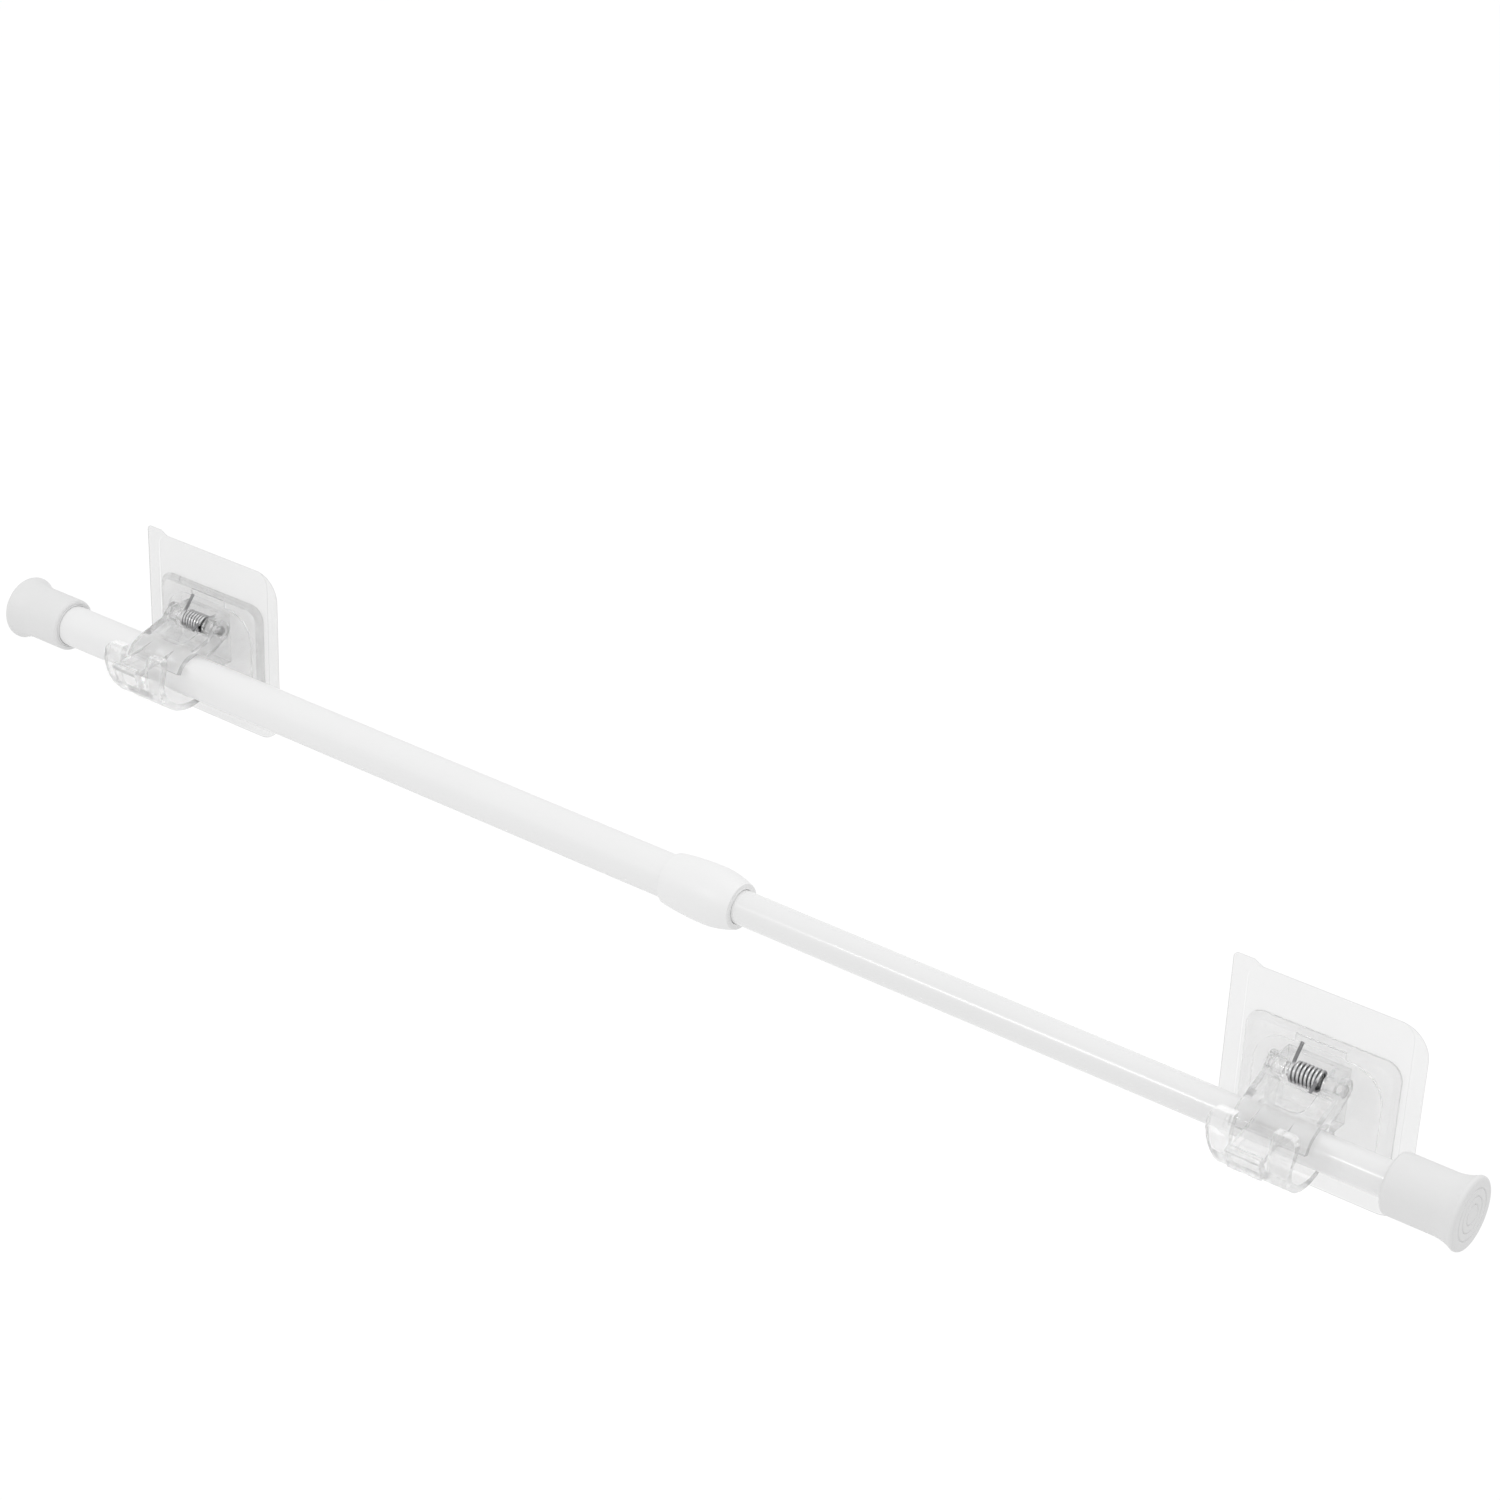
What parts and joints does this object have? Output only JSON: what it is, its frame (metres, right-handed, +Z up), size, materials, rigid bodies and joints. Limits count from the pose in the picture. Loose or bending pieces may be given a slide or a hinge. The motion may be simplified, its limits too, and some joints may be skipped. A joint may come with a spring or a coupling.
{
  "type": "spring tension rod",
  "caption": "Telescoping tension rod with rubber end caps, twist lock and inner spring, held in clear self-adhesive wall clips with sprung clamp levers.",
  "frame": {"origin": "middle of the left end face, on the rod's axis", "axes": "+X along the rod towards the thinner tube, +Y into the wall behind the clips, +Z up"},
  "size_m": [0.52, 0.039, 0.0584],
  "materials": {
    "coated_steel": "gloss white coating",
    "collar_plastic": "satin white",
    "cap_rubber": "matte white",
    "lock_plastic": "moulded, self-coloured",
    "spring_steel": "bright drawn wire",
    "clear_plastic": "clear, polished",
    "clear_film": "clear film with clear adhesive"
  },
  "bodies": {
    "rod_outer": {"outer_tube": "coated_steel", "tube_collar": "collar_plastic", "end_cap_left": "cap_rubber"},
    "lock_shoe_body": {"lock_shoe": "lock_plastic"},
    "lock_screw_body": {"lock_screw": "lock_plastic"},
    "rod_inner": {"inner_tube": "coated_steel", "end_cap_right": "cap_rubber", "spindle_bush": "lock_plastic", "spring_stop": "lock_plastic", "tension_spring": "spring_steel"},
    "clip_left": {"clip_base_left": "clear_plastic", "wall_film_left": "clear_film", "hinge_pin_left": "clear_plastic"},
    "lever_left": {"clamp_lever_left": "clear_plastic", "torsion_spring_left": "spring_steel"},
    "clip_right": {"clip_base_right": "clear_plastic", "wall_film_right": "clear_film", "hinge_pin_right": "clear_plastic"},
    "lever_right": {"clamp_lever_right": "clear_plastic", "torsion_spring_right": "spring_steel"}
  },
  "joints": [
    {"name": "rod_extend", "type": "slide", "parent": "rod_outer", "child": "lock_shoe_body", "axis": [1, 0, 0], "range_m": [-0.14, 0.025]},
    {"name": "twist_lock", "type": "hinge", "parent": "lock_shoe_body", "child": "lock_screw_body", "pos_m": [0.236, 0, 0], "axis": [1, 0, 0], "range_deg": [0, 150]},
    {"name": "spring_travel", "type": "slide", "parent": "lock_screw_body", "child": "rod_inner", "axis": [1, 0, 0], "range_m": [-0.01, 0], "stiffness_N_per_m": 2500, "springref_m": 0.003, "deforming": ["tension_spring"]},
    {"name": "clip_slide_left", "type": "slide", "parent": "rod_outer", "child": "clip_left", "axis": [1, 0, 0], "range_m": [-0.025, 0.185]},
    {"name": "clip_slide_right", "type": "slide", "parent": "lock_shoe_body", "child": "clip_right", "axis": [1, 0, 0], "range_m": [-0.012, 0.006]},
    {"name": "lever_hinge_left", "type": "hinge", "parent": "clip_left", "child": "lever_left", "pos_m": [0.066, 0.0115, 0.0115], "axis": [-1, 0, 0], "range_deg": [0, 80], "stiffness_Nm_per_rad": 0.15, "springref_deg": -34.38, "deforming": ["torsion_spring_left"]},
    {"name": "lever_hinge_right", "type": "hinge", "parent": "clip_right", "child": "lever_right", "pos_m": [0.466, 0.0115, 0.0115], "axis": [-1, 0, 0], "range_deg": [0, 80], "stiffness_Nm_per_rad": 0.15, "springref_deg": -34.38, "deforming": ["torsion_spring_right"]}
  ]
}
